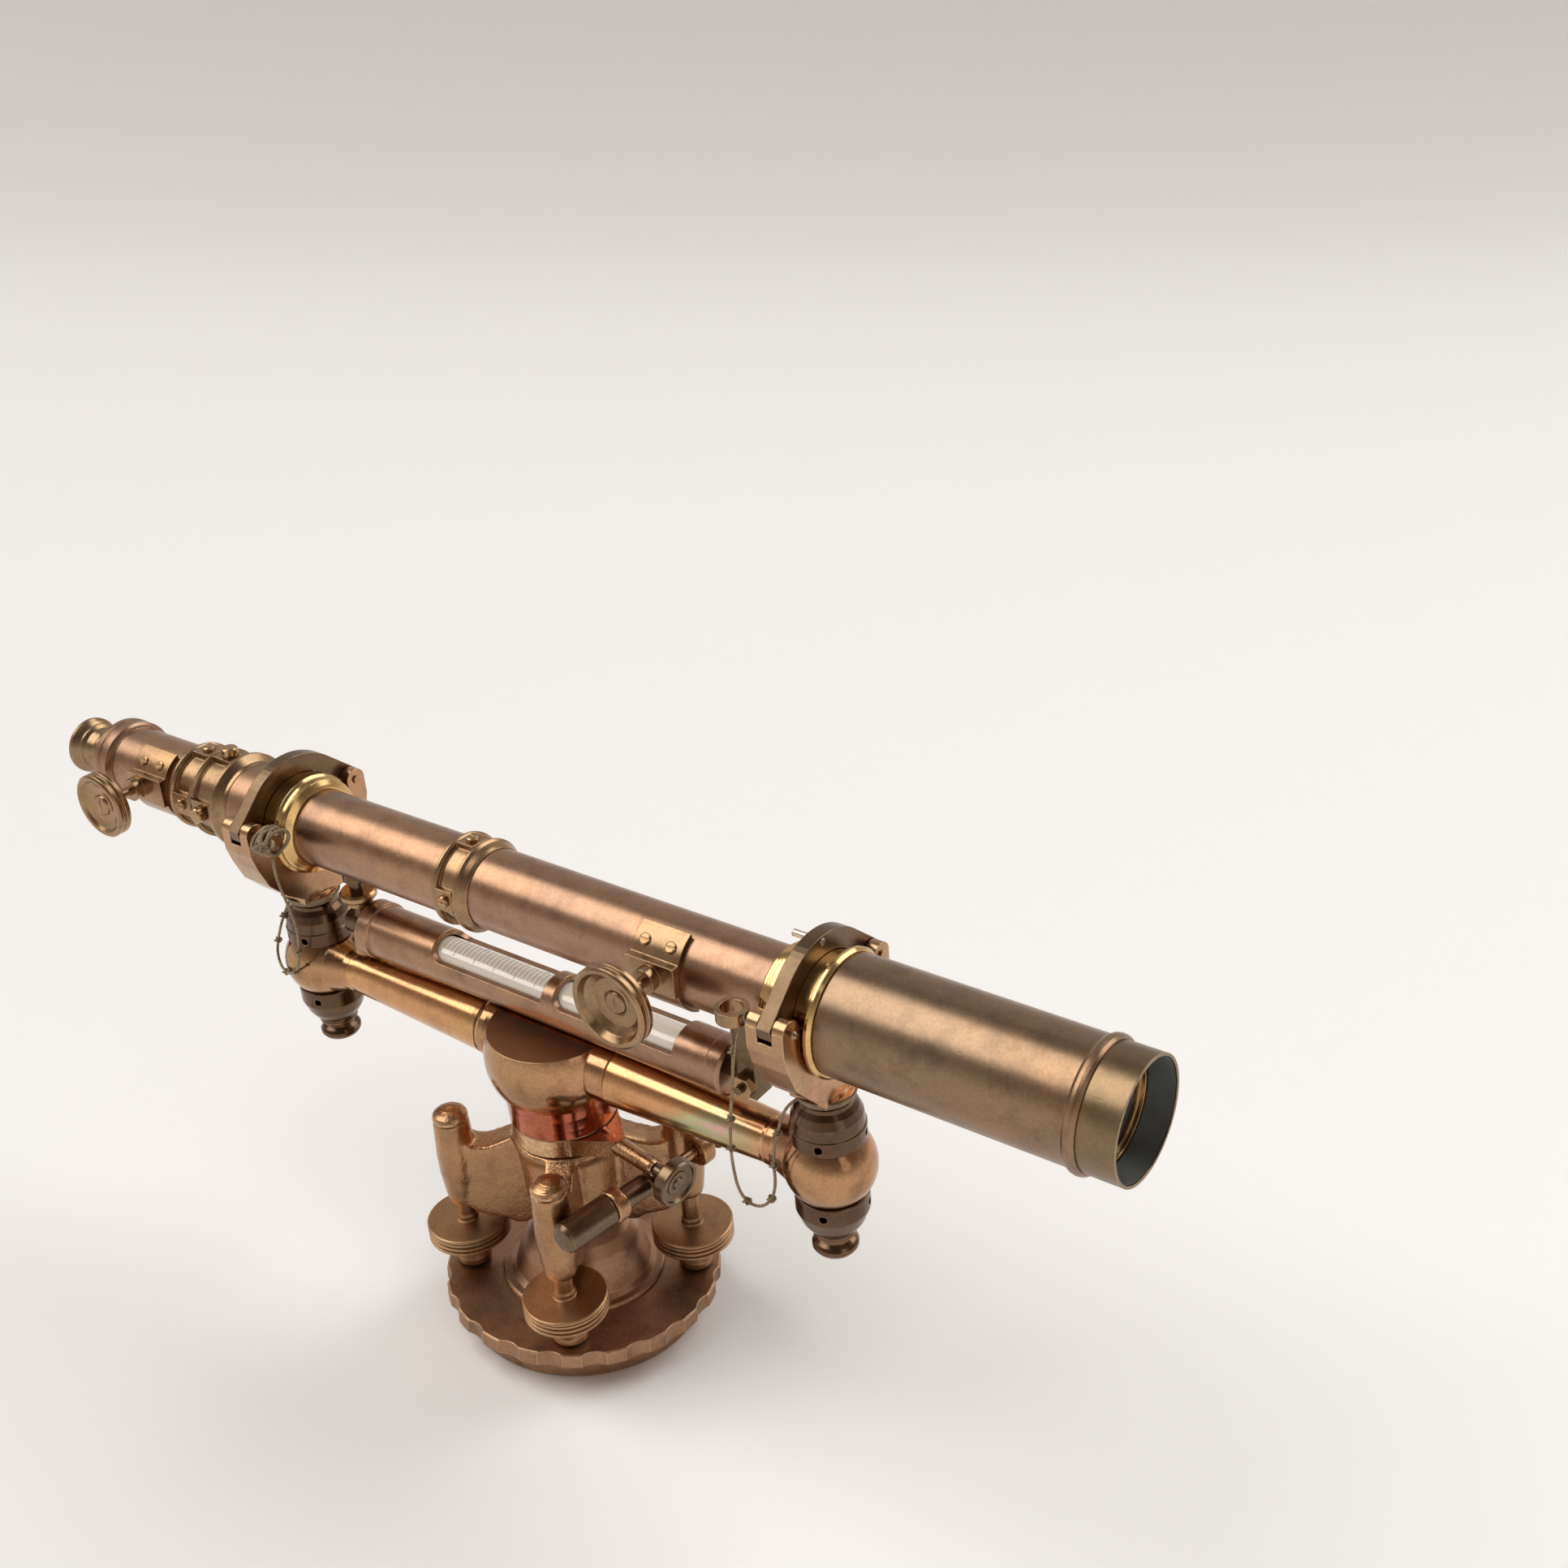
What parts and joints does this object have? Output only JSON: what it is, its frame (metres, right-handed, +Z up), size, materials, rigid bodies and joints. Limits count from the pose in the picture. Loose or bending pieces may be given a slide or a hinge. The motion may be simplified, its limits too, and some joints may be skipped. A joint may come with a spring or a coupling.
{
  "type": "wye level",
  "caption": "Brass wye level: a telescope with a spirit level lies in two wyes on a turning bar over a four-screw levelling head.",
  "frame": {"origin": "centre of the tripod thread at the foot plate's underside", "axes": "+X along the telescope towards the objective, +Z up out of the tripod"},
  "size_m": [0.5135, 0.112, 0.2223],
  "materials": {
    "lacquered_tube": "aged lacquer, brushed",
    "polished_brass": "polished",
    "aged_brass": "satin, worn edges",
    "golden_brass": "satin, heat tinted",
    "red_copper": "polished, heat tinted",
    "cast_bronze": "sandy casting, worn edges",
    "foot_bronze": "machined, worn edges",
    "screw_brass": "turned",
    "dark_bronze": "dark patina",
    "small_brass": "worn",
    "spring_steel": "wire",
    "lens_glass": "polished",
    "waxed_cord": "waxed twisted thread"
  },
  "bodies": {
    "foot": {"foot_plate": "foot_bronze", "ball_socket": "foot_bronze"},
    "ball": {"leveling_ball": "foot_bronze"},
    "spider": {"spider": "cast_bronze", "post_caps": "cast_bronze", "spindle_bush": "red_copper", "tangent_brackets": "cast_bronze", "spring_barrel": "dark_bronze", "tangent_spring": "spring_steel"},
    "plunger": {"spring_plunger": "small_brass"},
    "tangent": {"tangent_screw": "small_brass"},
    "clamp": {"clamp_collar": "cast_bronze"},
    "clamp_wheel": {"clamp_screw": "dark_bronze"},
    "alidade": {"bar_hub": "golden_brass", "spindle": "golden_brass", "spindle_sleeve": "red_copper", "bar_tubes": "golden_brass", "bar_ends": "golden_brass", "wye_front": "golden_brass", "wye_rear": "golden_brass", "finials": "dark_bronze", "upper_nuts": "dark_bronze", "lower_nuts": "dark_bronze", "hinge_pins": "small_brass", "cord_front": "waxed_cord", "cord_rear": "waxed_cord"},
    "front_clip": {"clip_front": "dark_bronze", "stop_pin": "small_brass"},
    "rear_clip": {"clip_rear": "dark_bronze"},
    "front_pin": {"clip_pin_front": "aged_brass"},
    "rear_pin": {"clip_pin_rear": "aged_brass"},
    "telescope": {"main_tube": "lacquered_tube", "front_collar": "polished_brass", "rear_collar": "polished_brass", "middle_ring": "aged_brass", "objective_barrel": "lacquered_tube", "sunshade": "aged_brass", "pinion_saddles": "aged_brass", "reticle_housing": "aged_brass", "reticle_diaphragm": "dark_bronze", "tube_screws": "small_brass", "eyepiece_tube": "lacquered_tube", "vial_tube": "lacquered_tube", "vial_glass": "lens_glass", "vial_hangers": "small_brass", "vial_nuts": "small_brass"},
    "objective": {"objective_slide": "small_brass", "objective_lens": "lens_glass"},
    "focus": {"focus_knob": "aged_brass"},
    "eyepiece": {"eyepiece_slide": "aged_brass", "eyepiece_lenses": "lens_glass"},
    "eye_focus": {"eyepiece_knob": "aged_brass"},
    "shoe_1": {"screw_shoe_1": "screw_brass"},
    "screw_1": {"leveling_screw_1": "screw_brass"},
    "shoe_2": {"screw_shoe_2": "screw_brass"},
    "screw_2": {"leveling_screw_2": "screw_brass"},
    "shoe_3": {"screw_shoe_3": "screw_brass"},
    "screw_3": {"leveling_screw_3": "screw_brass"},
    "shoe_4": {"screw_shoe_4": "screw_brass"},
    "screw_4": {"leveling_screw_4": "screw_brass"}
  },
  "joints": [
    {"name": "tilt_a", "type": "hinge", "parent": "foot", "child": "ball", "pos_m": [0, 0, 0.028], "axis": [0.8275, 0.558, 0.0631], "range_deg": [-3, 2]},
    {"name": "tilt_b", "type": "hinge", "parent": "ball", "child": "spider", "pos_m": [0, 0, 0.028], "axis": [-0.5606, 0.8272, 0.0374], "range_deg": [-2, 4]},
    {"name": "shoe_1_travel", "type": "slide", "parent": "spider", "child": "shoe_1", "axis": [-0.0313, -0.0663, 0.9973], "range_m": [-0.00162, 0.00324]},
    {"name": "screw_1_turn", "type": "hinge", "parent": "shoe_1", "child": "screw_1", "pos_m": [0.03727, 0.02459, 0.04284], "axis": [-0.0313, -0.0663, 0.9973], "continuous": true},
    {"name": "shoe_2_travel", "type": "slide", "parent": "spider", "child": "shoe_2", "axis": [-0.0313, -0.0663, 0.9973], "range_m": [-0.00162, 0.00243]},
    {"name": "screw_2_turn", "type": "hinge", "parent": "shoe_2", "child": "screw_2", "pos_m": [-0.02588, 0.03684, 0.04167], "axis": [-0.0313, -0.0663, 0.9973], "continuous": true},
    {"name": "shoe_3_travel", "type": "slide", "parent": "spider", "child": "shoe_3", "axis": [-0.0313, -0.0663, 0.9973], "range_m": [-0.00324, 0.00162]},
    {"name": "screw_3_turn", "type": "hinge", "parent": "shoe_3", "child": "screw_3", "pos_m": [-0.03803, -0.02618, 0.0371], "axis": [-0.0313, -0.0663, 0.9973], "continuous": true},
    {"name": "shoe_4_travel", "type": "slide", "parent": "spider", "child": "shoe_4", "axis": [-0.0313, -0.0663, 0.9973], "range_m": [-0.00243, 0.00162]},
    {"name": "screw_4_turn", "type": "hinge", "parent": "shoe_4", "child": "screw_4", "pos_m": [0.02513, -0.03843, 0.03827], "axis": [-0.0313, -0.0663, 0.9973], "continuous": true},
    {"name": "azimuth", "type": "hinge", "parent": "spider", "child": "alidade", "pos_m": [-0.00194, -0.00411, 0.08983], "axis": [-0.0313, -0.0663, 0.9973], "continuous": true},
    {"name": "slow_motion", "type": "hinge", "parent": "spider", "child": "clamp", "pos_m": [-0.00194, -0.00411, 0.08983], "axis": [-0.0313, -0.0663, 0.9973], "range_deg": [-2.5, 2.5]},
    {"name": "clamp_turn", "type": "hinge", "parent": "clamp", "child": "clamp_wheel", "pos_m": [0.05664, -0.00912, 0.08985], "axis": [0.9937, -0.0796, -0.0789], "range_deg": [-180, 90]},
    {"name": "plunger_slide", "type": "slide", "parent": "spider", "child": "plunger", "axis": [0.1543, 0.9855, 0.0703], "range_m": [-0.00201, 0.00201]},
    {"name": "tangent_slide", "type": "slide", "parent": "spider", "child": "tangent", "axis": [0.1543, 0.9855, 0.0703], "range_m": [-0.00201, 0.00201]},
    {"name": "front_clip_open", "type": "hinge", "parent": "alidade", "child": "front_clip", "pos_m": [0.12355, 0.01517, 0.20335], "axis": [-0.9995, 0, -0.0314], "range_deg": [0, 100]},
    {"name": "rear_clip_open", "type": "hinge", "parent": "alidade", "child": "rear_clip", "pos_m": [-0.13432, 0.01517, 0.19525], "axis": [-0.9995, 0, -0.0314], "range_deg": [0, 100]},
    {"name": "front_pin_pull", "type": "slide", "parent": "alidade", "child": "front_pin", "axis": [-0.9995, 0, -0.0314], "range_m": [0, 0.018]},
    {"name": "rear_pin_pull", "type": "slide", "parent": "alidade", "child": "rear_pin", "axis": [0.9995, 0, 0.0314], "range_m": [0, 0.018]},
    {"name": "telescope_roll", "type": "hinge", "parent": "alidade", "child": "telescope", "pos_m": [-0.00511, -0.0108, 0.19056], "axis": [0.9995, 0, 0.0314], "continuous": true},
    {"name": "objective_travel", "type": "slide", "parent": "telescope", "child": "objective", "axis": [0.9995, 0, 0.0314], "range_m": [-0.0235, 0.0105]},
    {"name": "focus_turn", "type": "hinge", "parent": "telescope", "child": "focus", "pos_m": [0.06587, -0.04686, 0.1924], "axis": [0.0021, -0.9978, -0.0662], "range_deg": [-300, 134]},
    {"name": "eyepiece_travel", "type": "slide", "parent": "telescope", "child": "eyepiece", "axis": [0.9995, 0, 0.0314], "range_m": [-0.0085, 0.0065]},
    {"name": "eyepiece_turn", "type": "hinge", "parent": "telescope", "child": "eye_focus", "pos_m": [-0.2125, -0.04386, 0.18385], "axis": [0.0021, -0.9978, -0.0662], "range_deg": [-109, 83]}
  ],
  "couplings": [
    {"joint": "shoe_1_travel", "follows": "tilt_b", "m_per_rad": 0.0455},
    {"joint": "shoe_2_travel", "follows": "tilt_a", "m_per_rad": -0.0455},
    {"joint": "shoe_3_travel", "follows": "tilt_b", "m_per_rad": -0.0455},
    {"joint": "shoe_4_travel", "follows": "tilt_a", "m_per_rad": 0.0455},
    {"joint": "plunger_slide", "follows": "slow_motion", "m_per_rad": 0.0451},
    {"joint": "tangent_slide", "follows": "slow_motion", "m_per_rad": 0.0451},
    {"joint": "focus_turn", "follows": "objective_travel", "rad_per_m": 222.22},
    {"joint": "eyepiece_turn", "follows": "eyepiece_travel", "rad_per_m": 222.22}
  ]
}
